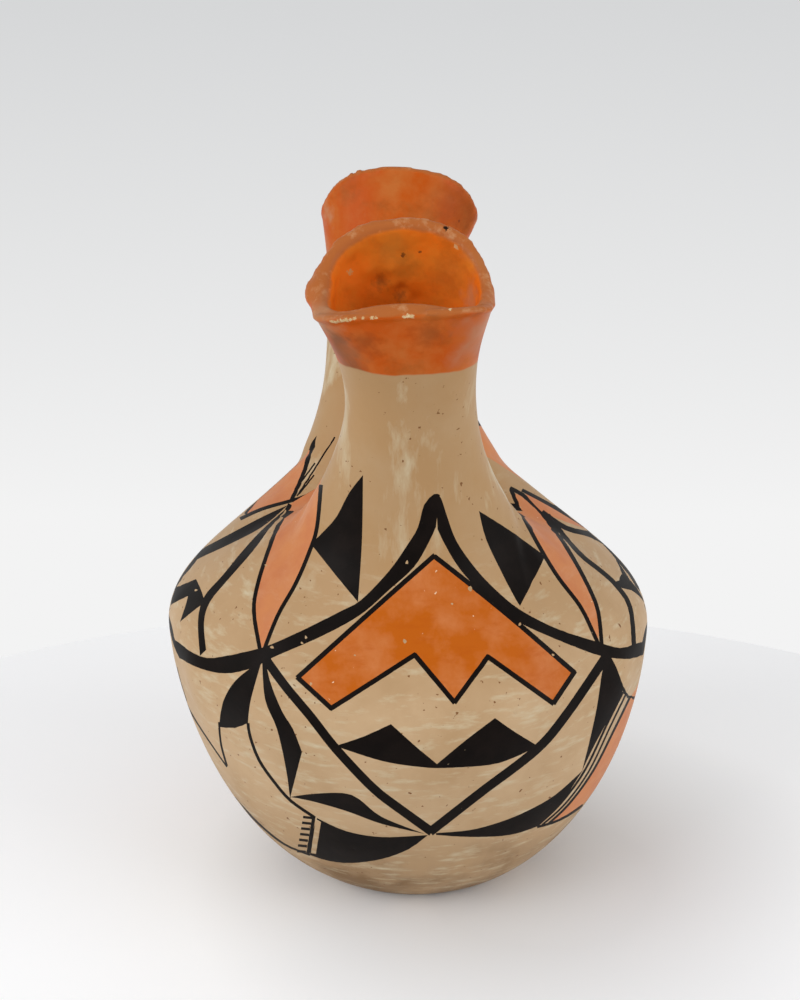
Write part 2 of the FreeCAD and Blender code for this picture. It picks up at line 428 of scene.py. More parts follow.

# Soot and glaze-like ochre stains of the rims, with painted shade and a painted reflection among them, then
# their dark pits and pale chips.
MARKS = (
    # Painted shade: these first three marks darken the crease at the left corner of the front rim.
    Mark((338, 345), 9.0, "#7A5236", 0.6),
    Mark((345, 362), 8.0, "#6E4A30", 0.55),
    Mark((334, 336), 5.0, "#7A5236", 0.5),
    Mark((366, 342), 5.0, "#6A3C1C", 0.4),
    Mark((428, 336), 5.0, "#7A431C", 0.4),
    Mark((478, 335), 10.0, "#B27A58", 0.75),
    Mark((472, 300), 5.0, "#AE7E5C", 0.5),
    # Painted reflection: this pale pink mark lightens the left side of the front rim, where the left light
    # reflects.
    Mark((322, 312), 8.0, "#B07E5A", 0.7),
    Mark((486, 262), 5.0, "#B07040", 0.5),
    # Painted shade: these two darken the right of the rear mouth, which lies in shade.
    Mark((455, 200), 9.0, "#9A4404", 0.6),
    Mark((470, 214), 6.0, "#8A3C04", 0.6),
    Mark((328, 215), 4.0, "#B88460", 0.6),
    Mark((380, 281), 2.6, "#7A4010", 0.6),
    Mark((392, 247), 5.0, "#B87A2C", 0.5),
    Mark((408, 266), 4.2, "#A8641A", 0.4),
    Mark((400, 296), 2.0, "#7A4010", 0.6),
    Mark((403, 255), 0.8, "#5A3008", 0.8),
    Mark((420, 252), 0.5, "#5A3008", 0.8),
    Mark((446, 228), 1.0, "#1E0E06"),
    Mark((459, 221), 0.5, "#6A3010", 0.7),
    Mark((332, 322), 0.8, "#CDAE80"),
    Mark((335, 322.5), 0.9, "#D2B98C"),
    Mark((338.5, 322), 1.0, "#C9A878"),
    Mark((342, 321), 0.8, "#D2B98C"),
    Mark((346, 320.5), 0.9, "#C9A878"),
    Mark((350, 320), 0.7, "#CDAE80"),
    Mark((354.5, 319), 0.6, "#C9A878"),
    Mark((363, 318.5), 0.5, "#C9A878"),
    Mark((372, 318), 0.6, "#CDAE80"),
    Mark((376, 318), 0.5, "#C9A878"),
    Mark((404, 317), 0.6, "#D2B98C"),
    Mark((408, 316.5), 0.8, "#D9C095"),
    Mark((412, 317), 0.7, "#CDAE80"),
    Mark((450, 309), 0.6, "#D9C095"),
    Mark((350, 272), 1.0, "#C98A50"),
    Mark((456, 247), 0.8, "#C99A68"),
)


# A chip's corners, and the even and the uneven share of their reach.
CHIP_CORNERS = 5
CHIP_EVEN = 0.8
CHIP_UNEVEN = 0.3


def chip(x: float, y: float, reach_px: float) -> Area:
    """Gives a small chip in the paint, a rough ring of a few points.

    Args:
        x: Its middle across the frame, which also sets how the ring is turned.
        y: Its middle down the frame, which also sets how uneven the ring is.
        reach_px: Its reach.

    Returns:
        The chip, as a field of bare slip on the front only.
    """
    ring = []
    for index in range(CHIP_CORNERS):
        angle = 2.0 * math.pi * index / CHIP_CORNERS + x
        reach = reach_px * (CHIP_EVEN + CHIP_UNEVEN * math.sin(y + 2.0 * index))
        ring.append((x + reach * math.cos(angle), y + reach * math.sin(angle)))
    return Area(SLIP, ((*ring, ring[0]),), True)


# Where the paint has chipped off in specks, on the front only.
CHIPS = (
    chip(407, 562, 2.2), chip(272, 647, 2.0), chip(405, 641, 2.4), chip(470, 588, 3.4), chip(520, 624, 2.0),
    chip(306, 637, 1.8), chip(302, 643, 1.6), chip(418, 508, 1.2), chip(266, 565, 1.4), chip(311, 684, 1.8),
    chip(452, 604, 1.3), chip(553, 655, 1.6), chip(355, 655, 1.2), chip(583, 657, 1.5), chip(196, 590, 1.6),
)


def smooth_stroke(stroke: Stroke, step_px: float = 9.0) -> list[Spot]:
    """Draws a smooth line through the points of a stroke.

    Args:
        stroke: The points, in order.
        step_px: The length of its short pieces, roughly.

    Returns:
        The points of the line, its first and last point being those of the stroke.
    """
    before = [stroke[0], *stroke, stroke[-1]]
    line = []
    for index in range(len(stroke) - 1):
        p0, p1, p2, p3 = (np.array(before[index + k], float) for k in range(4))
        steps = max(2, math.ceil(np.linalg.norm(p2 - p1) / step_px))
        for step in range(steps):
            t = step / steps
            along = 0.5 * (2 * p1 + (p2 - p0) * t + (2 * p0 - 5 * p1 + 4 * p2 - p3) * t ** 2
                           + (3 * p1 - p0 - 3 * p2 + p3) * t ** 3)
            line.append((float(along[0]), float(along[1])))
    line.append(stroke[-1])
    return line


def outline_of(shape: Area | Line) -> list[Spot]:
    """Gives the closed outline of a field or of a line's two edges.

    Args:
        shape: The field or line.

    Returns:
        The outline's points, in pixels.
    """
    if isinstance(shape, Area):
        points = []
        for stroke in shape.strokes:
            points.extend(smooth_stroke(stroke)[:-1])
        return points
    middle = np.array(smooth_stroke(shape.stroke), float)
    ahead = np.gradient(middle, axis=0)
    ahead /= np.linalg.norm(ahead, axis=1)[:, None]
    side = np.stack([-ahead[:, 1], ahead[:, 0]], axis=1) * 0.5 * shape.width_px
    return [tuple(p) for p in np.vstack([middle + side, (middle - side)[::-1]]).tolist()]


def inside(points: np.ndarray, outline: np.ndarray) -> np.ndarray:
    """Says which points lie inside a closed outline.

    Args:
        points: Points in rows of two.
        outline: The corners of the outline in rows of two.

    Returns:
        True or false for each point.
    """
    result = np.zeros(len(points), bool)
    low, high = outline.min(0), outline.max(0)
    near = np.all((points >= low) & (points <= high), axis=1)
    x, y = points[near, 0], points[near, 1]
    odd = np.zeros(len(x), bool)
    for (ax, ay), (bx, by) in zip(outline, np.roll(outline, -1, axis=0)):
        if ay == by:
            continue
        crosses = (ay > y) != (by > y)
        odd ^= crosses & (x < (bx - ax) * (y - ay) / (by - ay) + ax)
    result[near] = odd
    return result


def turn_of(points: np.ndarray) -> np.ndarray:
    """Gives the angle of points round the vase in degrees: 0 at the front, growing to the right."""
    return np.degrees(np.arctan2(points[:, 0], -points[:, 1]))


def deselect() -> None:
    """Clears the selection, so that an operator acts only on what is chosen next."""
    bpy.ops.object.select_all(action="DESELECT")


def choose(piece: bpy.types.Object) -> None:
    """Makes one object the selected and active one."""
    deselect()
    piece.select_set(True)
    bpy.context.view_layer.objects.active = piece


@dataclass
class Vessel:
    """The one piece of clay: belly, necks, bridge and foot."""

    view: PhotoView
    merge_reach: float = 0.001 * MM
    grain: float = 1.0 * MM
    even_rounds: int = 2
    lip_rounds: int = 16
    lip_zone: float = 4.5
    lip_swell: float = 0.9 * MM
    lip_drop: float = 2.8 * MM
    lip_inner_share: float = 0.86
    lip_wear_power: float = 1.5
    mouth_half: tuple[float, float] = (27.1 * MM, 21.5 * MM)
    mouth_middles: tuple[Spot, Spot] = ((-2.0 * MM, -51.5 * MM), (-2.3 * MM, 51.5 * MM))
    kept_share: float = 0.19
    lip_weight: float = 100.0
    sharp_turn: float = 0.6
    level_favour: float = 0.01
    dent_fade: float = 2.0
    sway: float = 0.35 * MM
    sway_length: float = 38.0 * MM
    rim_height: float = 205.0 * MM
    lip_sway: float = 0.3 * MM
    lip_sway_length: float = 14.0 * MM
    lip_sway_start: tuple[float, float, float] = (7.0, 3.0, 1.0)
    lip_sway_rise: float = 8.0 * MM
    band_top: float = 157.0 * MM
    band_low: float = 3.0 * MM
    apex: float = 240.0 * MM
    axis_clear: float = 18.0 * MM
    lip_half_gap: float = 0.5
    far_gap: float = 20.0
    rear_turn: float = 180.0
    grazing_turn: float = 78.0
    belly_side: float = 90.0
    shoulder_side: float = 123.0
    side_heights: tuple[float, float] = (99.0, 112.0)
    side_step: float = 2.0
    piece: bpy.types.Object | None = None
    lips: BVHTree | None = None
    outlines: list[tuple[Area | Line, np.ndarray]] = field(default_factory=list)

    def build(self) -> bpy.types.Object:
        """Builds the vessel in full and gives its object."""
        self.shape()
        self.sway_clay()
        self.thin_out()
        self.find_outlines()
        self.paint()
        return self.piece

    def shape(self) -> None:
        """Copies the CAD solid, gives it an even mesh and rounds its cut lips."""
        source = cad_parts["vase"]
        mesh = bmesh.new()
        mesh.from_mesh(source.data)
        bmesh.ops.remove_doubles(mesh, verts=mesh.verts, dist=self.merge_reach)
        self.lips = self.find_lips(mesh)
        data = bpy.data.meshes.new("painted_vessel")
        mesh.to_mesh(data)
        mesh.free()
        self.piece = bpy.data.objects.new("painted_vessel", data)
        bpy.context.scene.collection.objects.link(self.piece)
        choose(self.piece)
        remesh = self.piece.modifiers.new("even_mesh", "REMESH")
        remesh.mode = "VOXEL"
        remesh.voxel_size = self.grain
        bpy.ops.object.modifier_apply(modifier=remesh.name)
        self.round_off("", self.even_rounds)
        gaps = self.lip_gaps(read_places(self.piece.data))
        store_gaps(self.piece.data, gaps)
        group = self.piece.vertex_groups.new(name="lips")
        group.add(np.nonzero(gaps < self.lip_zone)[0].tolist(), 1.0, "REPLACE")
        self.round_off(group.name, self.lip_rounds)

    def round_off(self, group: str, rounds: int) -> None:
        """Smooths the piece, or only a group of its vertices.

        Args:
            group: The group's name, or nothing for the whole piece.
            rounds: How often it is smoothed.
        """
        rounding = self.piece.modifiers.new("round_off", "SMOOTH")
        rounding.factor = 1.0
        rounding.iterations = rounds
        rounding.vertex_group = group
        bpy.ops.object.modifier_apply(modifier=rounding.name)

    def thin_out(self) -> None:
        """Leaves only the faces that the form needs, and makes them triangles."""
        choose(self.piece)
        thinning = self.piece.modifiers.new("fewer_faces", "DECIMATE")
        thinning.ratio = self.kept_share
        thinning.vertex_group = "lips"
        thinning.vertex_group_factor = self.lip_weight
        thinning.invert_vertex_group = True
        bpy.ops.object.modifier_apply(modifier=thinning.name)
        faces = self.piece.modifiers.new("triangles", "TRIANGULATE")
        bpy.ops.object.modifier_apply(modifier=faces.name)

    def find_lips(self, mesh: bmesh.types.BMesh) -> BVHTree:
        """Finds the cut tops of the two rims, which sharp edges part from the walls.

        Args:
            mesh: The CAD solid with its vertices merged.

        Returns:
            The lips' faces as a tree for finding distances.
        """
        lip = set()
        for side in (-1.0, 1.0):
            own = [face for face in mesh.faces if face.calc_center_median().y * side > 0.0]
            top = max(own, key=lambda face: face.calc_center_median().z + self.level_favour * face.normal.z)
            waiting = [top]
            lip.add(top)
            while waiting:
                for edge in waiting.pop().edges:
                    for near in edge.link_faces:
                        if near not in lip and edge.calc_face_angle(math.pi) < self.sharp_turn:
                            lip.add(near)
                            waiting.append(near)
        log.info("%d faces on the lips", len(lip))
        corners = [vert.co[:] for face in lip for vert in face.verts]
        return BVHTree.FromPolygons(corners, [(3 * k, 3 * k + 1, 3 * k + 2) for k in range(len(lip))])

    def sway_clay(self) -> None:
        """Gives the wall the slight swells that coil building and scraping leave."""
        data = self.piece.data
        places = read_places(data)
        normals = read_normals(data)
        moved = places.copy()
        tree = BVHTree.FromObject(self.piece, bpy.context.evaluated_depsgraph_get())
        for dent in DENTS:
            middle = self.view.clay_at(tree, dent.pixel)
            gaps = np.linalg.norm(places - np.array(middle), axis=1) / (dent.reach_mm * MM)
            depth = dent.depth_mm * MM * np.exp(-self.dent_fade * gaps ** 2)
            moved -= normals * depth[:, None]
        moved += self.worn_lips(places, normals, read_gaps(data))
        for index, (x, y, z) in enumerate(places):
            spot = Vector((x, y, z))
            swell = noise.noise(spot / self.sway_length) * self.sway
            lift = 0.0
            if z > self.rim_height:
                share = min((z - self.rim_height) / self.lip_sway_rise, 1.0)
                start = Vector(self.lip_sway_start)
                lift = noise.noise(spot / self.lip_sway_length + start) * self.lip_sway * share
            elif z < self.band_low:
                swell = 0.0
            moved[index] += normals[index] * swell
            moved[index][2] += lift
        data.vertices.foreach_set("co", moved.ravel())
        data.update()

    def worn_lips(self, places: np.ndarray, normals: np.ndarray, gaps: np.ndarray) -> np.ndarray:
        """Gives the lips back the thickness that smoothing took, and wears their outer edges down.

        Args:
            places: The vertices' places.
            normals: The vertices' normals.
            gaps: The vertices' gaps to the lips, in millimetres.

        Returns:
            How far each vertex moves.
        """
        near = np.clip(1.0 - gaps / self.lip_zone, 0.0, 1.0)
        shift = normals * (self.lip_swell * near)[:, None]
        for side, (x, y) in zip((-1.0, 1.0), self.mouth_middles):
            out = np.hypot((places[:, 0] - x) / self.mouth_half[0], (places[:, 1] - y) / self.mouth_half[1])
            edge = np.clip((out - self.lip_inner_share) / (1.0 - self.lip_inner_share), 0.0, 1.0)
            own = places[:, 1] * side > 0.0
            shift[:, 2] -= np.where(own, self.lip_drop * edge ** self.lip_wear_power * near, 0.0)
            shift[:, 2] += np.where(own, self.lip_swell * near, 0.0)
        return shift

    def find_outlines(self) -> None:
        """Lays the pattern's outlines on the clay, as turn in degrees and height in millimetres."""
        tree = BVHTree.FromObject(self.piece, bpy.context.evaluated_depsgraph_get())
        for shape in PATTERN + CHIPS:
            spots = np.array([self.spot_on_clay(tree, pixel, shape.side_turn) for pixel in outline_of(shape)])
            self.outlines.append((shape, spots))

    def spot_on_clay(self, tree: BVHTree, pixel: Pixel, side_turn: float | None) -> Spot:
        """Gives the turn in degrees and the height in millimetres of what the camera sees at a pixel.

        Args:
            tree: The clay's surface.
            pixel: A place in the photograph's frame.
            side_turn: The turn to give a pixel beside the clay, if any.

        Returns:
            The turn and the height.
        """
        hit = self.view.clay_at(tree, pixel)
        turn = math.degrees(math.atan2(hit.x, -hit.y))
        beside = tree.ray_cast(self.view.eye(), self.view.ray(pixel))[0] is None
        if side_turn is not None and (beside or abs(turn) > self.grazing_turn):
            turn = math.copysign(side_turn, turn)
        return turn, hit.z / MM

    def flatten(self, turn: np.ndarray, height: np.ndarray) -> np.ndarray:
        """Lays turn and height out on a flat ring, the foot outside and the necks inside.

        Args:
            turn: The turns in degrees.
            height: The heights in millimetres.

        Returns:
            Places on the flat ring in rows of two.
        """
        reach = self.apex / MM - height
        angle = np.radians(turn)
        return np.stack([reach * np.sin(angle), -reach * np.cos(angle)], axis=1)

    def paint(self) -> None:
        """Cuts the outlines into the mesh and gives each face the paint that lies on it."""
        data = self.piece.data
        places = read_places(data)
        normals = read_normals(data)
        gaps = read_gaps(data)
        faces = np.empty(len(data.polygons) * 3, np.int32)
        data.polygons.foreach_get("vertices", faces)
        faces = faces.reshape(-1, 3)
        outer = self.outer_faces(places, faces)
        flat = self.flatten(turn_of(places), places[:, 2] / MM)
        cuts = self.cut_lines()
        crossed = crossed_faces(flat, faces, outer, cuts)
        log.info("%d faces, %d of them outside, %d crossed", len(faces), outer.sum(), crossed.sum())
        places, normals, faces, outer = cut_faces(places, normals, flat, faces, outer, crossed, cuts)
        gaps = np.append(gaps, np.full(len(places) - len(gaps), self.far_gap))
        coats = self.coats(places, faces, outer)
        coats[inner_faces(places, faces, gaps[faces].mean(axis=1) < self.lip_half_gap)] = Paint.BARE.value
        self.rebuild(places, normals, faces, coats)
        store_gaps(self.piece.data, gaps)

    def outer_faces(self, places: np.ndarray, faces: np.ndarray) -> np.ndarray:
        """Says which faces a line from the axis meets last, inside the painted band.

        Args:
            places: The vertices' places.
            faces: The faces' vertices in rows of three.

        Returns:
            True or false for each face.
        """
        centres = places[faces].mean(axis=1)
        sides = np.cross(places[faces[:, 1]] - places[faces[:, 0]], places[faces[:, 2]] - places[faces[:, 0]])
        reach = np.linalg.norm(centres[:, :2], axis=1)
        away = centres[:, :2] / np.maximum(reach, self.axis_clear)[:, None]
        outer = ((sides[:, :2] * away).sum(axis=1) > 0.0) & (reach > self.axis_clear)
        outer &= (centres[:, 2] > self.band_low) & (centres[:, 2] < self.band_top)
        tree = BVHTree.FromPolygons(places.tolist(), faces.tolist())
        for index in np.nonzero(outer)[0]:
            ahead = Vector((away[index, 0], away[index, 1], 0.0))
            start = Vector(centres[index]) + ahead * MM
            if tree.ray_cast(start, ahead)[0] is not None:
                outer[index] = False
        return outer

    def cut_lines(self) -> list[np.ndarray]:
        """Gives every closed outline on the flat ring, front and rear, and the two side lines."""
        cuts = []
        for shape, spots in self.outlines:
            for turn in (0.0,) if shape.front_only else (0.0, self.rear_turn):
                cuts.append(self.flatten(spots[:, 0] + turn, spots[:, 1]))
        step = self.side_step
        heights = np.arange(self.band_low / MM + step, self.band_top / MM - step, step)
        for side in (-1.0, 1.0):
            cuts.append(self.flatten(side * self.side_turn(heights), heights))
        return cuts

    def side_turn(self, heights: np.ndarray) -> np.ndarray:
        """Gives the turn at which the rear pattern takes over from the front one, by height."""
        return np.interp(heights, self.side_heights, (self.belly_side, self.shoulder_side))

    def coats(self, places: np.ndarray, faces: np.ndarray, outer: np.ndarray) -> np.ndarray:
        """Gives each face its paint, by the last outline that holds its centre.

        Args:
            places: The vertices' places.
            faces: The faces' vertices in rows of three.
            outer: Which faces lie on the outside.

        Returns:
            The number of each face's paint.
        """
        coats = np.full(len(faces), Paint.SLIP.value, np.int32)
        centres = places[faces].mean(axis=1)
        turn = turn_of(centres)
        height = centres[:, 2] / MM
        flat = self.flatten(turn, height)
        behind = np.abs(turn) > self.side_turn(height)
        for shape, spots in self.outlines:
            covered = inside(flat, self.flatten(spots[:, 0], spots[:, 1])) & ~behind
            if not shape.front_only:
                covered |= inside(flat, self.flatten(spots[:, 0] + self.rear_turn, spots[:, 1])) & behind
            coats[covered & outer] = shape.paint.value
        return coats

    def lip_gaps(self, places: np.ndarray) -> np.ndarray:
        """Gives the gap in millimetres from each place to the nearest lip, up to the far gap."""
        gaps = np.full(len(places), self.far_gap)
        for index in np.nonzero(places[:, 2] > self.rim_height)[0]:
            gaps[index] = min(self.lips.find_nearest(Vector(places[index]))[3] / MM, self.far_gap)
        return gaps

    def rebuild(self, places: np.ndarray, normals: np.ndarray, faces: np.ndarray, coats: np.ndarray) -> None:
        """Writes the cut mesh back to the piece.

        Args:
            places: The vertices' places.
            normals: The vertices' smooth normals.
            faces: The faces' vertices in rows of three.
            coats: The number of each face's paint.
        """
        data = bpy.data.meshes.new("painted_vessel")
        data.from_pydata(places.tolist(), [], faces.tolist())
        data.polygons.foreach_set("material_index", coats)
        data.polygons.foreach_set("use_smooth", np.ones(len(faces), bool))
        data.update()
        data.normals_split_custom_set_from_vertices(normals.tolist())
        self.piece.data = data


def read_places(data: bpy.types.Mesh) -> np.ndarray:
    """Gives the places of a mesh's vertices in rows of three."""
    places = np.empty(len(data.vertices) * 3)
    data.vertices.foreach_get("co", places)
    return places.reshape(-1, 3)


def read_normals(data: bpy.types.Mesh) -> np.ndarray:
    """Gives the smooth normals of a mesh's vertices in rows of three."""
    normals = np.empty(len(data.vertices) * 3)
    data.vertices.foreach_get("normal", normals)
    return normals.reshape(-1, 3)


def store_gaps(data: bpy.types.Mesh, gaps: np.ndarray) -> None:
    """Keeps each vertex's gap to the lips with the mesh."""
    store = data.attributes.new("lip_gap", "FLOAT", "POINT")
    store.data.foreach_set("value", gaps)


def read_gaps(data: bpy.types.Mesh) -> np.ndarray:
    """Gives each vertex's gap to the lips, in millimetres."""
    gaps = np.empty(len(data.vertices))
    data.attributes["lip_gap"].data.foreach_get("value", gaps)
    return gaps


def crossed_faces(flat: np.ndarray, faces: np.ndarray, outer: np.ndarray,
                  cuts: list[np.ndarray]) -> np.ndarray:
    """Says which outer faces may be crossed by an outline.

    Args:
        flat: The vertices on the flat ring.
        faces: The faces' vertices in rows of three.
        outer: Which faces may be cut.
        cuts: The outlines on the flat ring.

    Returns:
        True or false for each face.
    """
    corners = flat[faces]
    low, high = corners.min(axis=1), corners.max(axis=1)
    crossed = np.zeros(len(faces), bool)
    for cut in cuts:
        near = outer & np.all((low <= cut.max(0)) & (high >= cut.min(0)), axis=1)
        rows = np.nonzero(near)[0]
        if not len(rows):
            continue
        hit = np.zeros(len(rows), bool)
        for start, end in zip(cut, np.roll(cut, -1, axis=0)):
            below, above = np.minimum(start, end), np.maximum(start, end)
            hit |= np.all((low[rows] <= above) & (high[rows] >= below), axis=1)
        crossed[rows[hit]] = True
    return crossed


# The share past which a cut's point is taken for a face's corner, how close two points
# of the cut may lie, and the least double area of a face that is cut, on the flat ring.
AT_CORNER = 0.9999
CLOSE_MM = 1e-5
LEAST_DOUBLE = 1e-3


def cut_faces(places: np.ndarray, normals: np.ndarray, flat: np.ndarray, faces: np.ndarray,
              outer: np.ndarray, crossed: np.ndarray, cuts: list[np.ndarray]) -> tuple[np.ndarray, ...]:
    """Cuts the crossed faces along the outlines.

    Args:
        places: The vertices' places.
        normals: The vertices' normals.
        flat: The vertices on the flat ring.
        faces: The faces' vertices in rows of three.
        outer: Which faces lie on the outside.
        crossed: Which faces are cut.
        cuts: The outlines on the flat ring.

    Returns:
        The new places, normals, faces and outside marks.
    """
    first, second, third = (flat[faces[:, k]] for k in range(3))
    one, two = second - first, third - first
    double = one[:, 0] * two[:, 1] - one[:, 1] * two[:, 0]
    way = np.sign(np.median(double[crossed]))
    crossed = crossed & (double * way > LEAST_DOUBLE)
    rows = np.nonzero(crossed)[0]
    used = np.unique(faces[rows])
    order = np.full(len(places), -1, np.int64)
    order[used] = np.arange(len(used))
    patch = order[faces[rows]]
    sides = np.sort(np.vstack([patch[:, (0, 1)], patch[:, (1, 2)], patch[:, (2, 0)]]), axis=1)
    edges = np.unique(sides, axis=0).tolist()
    points = [Vector(p) for p in flat[used].tolist()]
    for cut in cuts:
        start, count = len(points), len(cut)
        points.extend(Vector(p) for p in cut.tolist())
        edges.extend((start + k, start + (k + 1) % count) for k in range(count))
    new_points, _, new_faces, *_ = delaunay_2d_cdt(points, edges, [], 0, CLOSE_MM, False)
    ground = BVHTree.FromPolygons([(x, y, 0.0) for x, y in flat[used].tolist()], patch.tolist())
    all_places, all_normals = places.tolist(), normals.tolist()
    index_of = []
    for point in new_points:
        under = face_under(ground, point)
        if under is None:
            under = ground.find_nearest((point[0], point[1], 0.0))[2]
        triple = faces[rows[under]]
        weights = weights_in(point, *flat[triple])
        if weights.max() > AT_CORNER:
            index_of.append(int(triple[int(weights.argmax())]))
            continue
        index_of.append(len(all_places))
        all_places.append((weights @ places[triple]).tolist())
        all_normals.append((weights @ normals[triple]).tolist())
    cut_part = []
    for face in new_faces:
        middle = sum((new_points[k] for k in face), Vector((0.0, 0.0))) / 3.0
        triple = [index_of[k] for k in face]
        if face_under(ground, middle) is not None and len(set(triple)) == 3:
            cut_part.append(triple if way > 0.0 else triple[::-1])
    new = np.vstack([faces[~crossed], np.array(cut_part, np.int32)])
    marks = np.concatenate([outer[~crossed], np.ones(len(cut_part), bool)])
    bent = np.array(all_normals)
    bent /= np.linalg.norm(bent, axis=1)[:, None]
    return np.array(all_places), bent, new, marks


def face_under(ground: BVHTree, point: Vector) -> int | None:
    """Gives the flat triangle that holds a point, or None beside them all."""
    return ground.ray_cast(Vector((point[0], point[1], 1.0)), Vector((0.0, 0.0, -1.0)))[2]


def weights_in(point: Vector, a: np.ndarray, b: np.ndarray, c: np.ndarray) -> np.ndarray:
    """Gives the shares of a flat triangle's three corners in a point of it.

    Args:
        point: The point.
        a: The first corner.
        b: The second corner.
        c: The third corner.

    Returns:
        The three shares, which make one together.
    """
    system = np.array([[a[0], b[0], c[0]], [a[1], b[1], c[1]], [1.0, 1.0, 1.0]])
    shares = np.linalg.solve(system, np.array([point[0], point[1], 1.0]))
    shares = np.clip(shares, 0.0, 1.0)
    return shares / shares.sum()


# Where the floor of the hollow is found: its height, how far from that its faces may
# lie, and how far from the axis.
FLOOR_HEIGHT = 9.0 * MM
FLOOR_SPREAD = 3.0 * MM
FLOOR_REACH = 10.0 * MM


def inner_faces(places: np.ndarray, faces: np.ndarray, lip: np.ndarray) -> np.ndarray:
    """Says which faces line the hollow, by spreading from its floor up to both lips.

    Args:
        places: The vertices' places.
        faces: The faces' vertices in rows of three.
        lip: Which faces lie on a lip, where the spreading ends.

    Returns:
        True or false for each face.
    """
    centres = places[faces].mean(axis=1)
    sides = np.cross(places[faces[:, 1]] - places[faces[:, 0]], places[faces[:, 2]] - places[faces[:, 0]])
    floor = (np.abs(centres[:, 2] - FLOOR_HEIGHT) < FLOOR_SPREAD) & (sides[:, 2] > 0.0)
    floor &= np.linalg.norm(centres[:, :2], axis=1) < FLOOR_REACH
    around = [[] for _ in range(len(places))]
    for index, face in enumerate(faces.tolist()):
        for corner in face:
            around[corner].append(index)
    inner = np.zeros(len(faces), bool)
    waiting = deque(np.nonzero(floor)[0].tolist())
    inner[floor] = True
    while waiting:
        for corner in faces[waiting.popleft()]:
            for near in around[corner]:
                if not inner[near] and not lip[near]:
                    inner[near] = True
                    waiting.append(near)
    return inner


def linear(hex_colour: str) -> tuple[float, float, float, float]:
    """Turns an sRGB hex colour to the linear values that Blender's sockets take.

    Args:
        hex_colour: The colour, as a # and six digits.

    Returns:
        Red, green and blue in linear light, and full cover.
    """
    values = []
    for start in (1, 3, 5):
        share = int(hex_colour[start:start + 2], 16) / 255.0
        values.append(share / 12.92 if share <= 0.04045 else ((share + 0.055) / 1.055) ** 2.4)
    return (*values, 1.0)


def add(tree: Tree, kind: str, settings: dict | None = None, **inputs: object) -> bpy.types.Node:
    """Adds a node with its settings and links.

    Args:
        tree: The node tree.
        kind: The node's type name.
        settings: Properties of the node itself.
        inputs: Values or output sockets by input name, with _ for a blank, or in_N by place.

    Returns:
        The new node.
    """
    node = tree.nodes.new(kind)
    for name, value in (settings or {}).items():
        setattr(node, name, value)
    for name, value in inputs.items():
        socket = node.inputs[int(name[3:])] if name.startswith("in_") else node.inputs[name.replace("_", " ")]
        if isinstance(value, bpy.types.NodeSocket):
            tree.links.new(value, socket)
        else:
            socket.default_value = value
    return node


def new_material(name: str) -> bpy.types.Material:
    """Makes a material with an empty node tree."""
    material = bpy.data.materials.new(name)
    material.use_nodes = True
    material.node_tree.nodes.clear()
    return material


# Settings that several nodes share.
COLOUR_MIX = {"data_type": "RGBA"}
TIMES_PLUS = {"operation": "MULTIPLY_ADD"}
TIMES = {"operation": "MULTIPLY"}
DISTANCE = {"operation": "DISTANCE"}


def lay(tree: Tree, under: object, over: object, value: Socket, limits: Limits) -> Socket:
    """Lays one tone over another where a value passes from its first limit to its second.

    Args:
        tree: The node tree.
        under: The tone before the first limit, as a colour or a socket.
        over: The tone past the second limit, as a colour or a socket.
        value: What decides between the two tones.
        limits: The values at which the upper tone begins and is full.

    Returns:
        The colour of both together.
    """
    share = add(tree, "ShaderNodeMapRange", None, Value=value, From_Min=limits[0], From_Max=limits[1])
    both = add(tree, "ShaderNodeMix", COLOUR_MIX, in_0=share.outputs["Result"], in_6=under, in_7=over)
    return both.outputs[2]


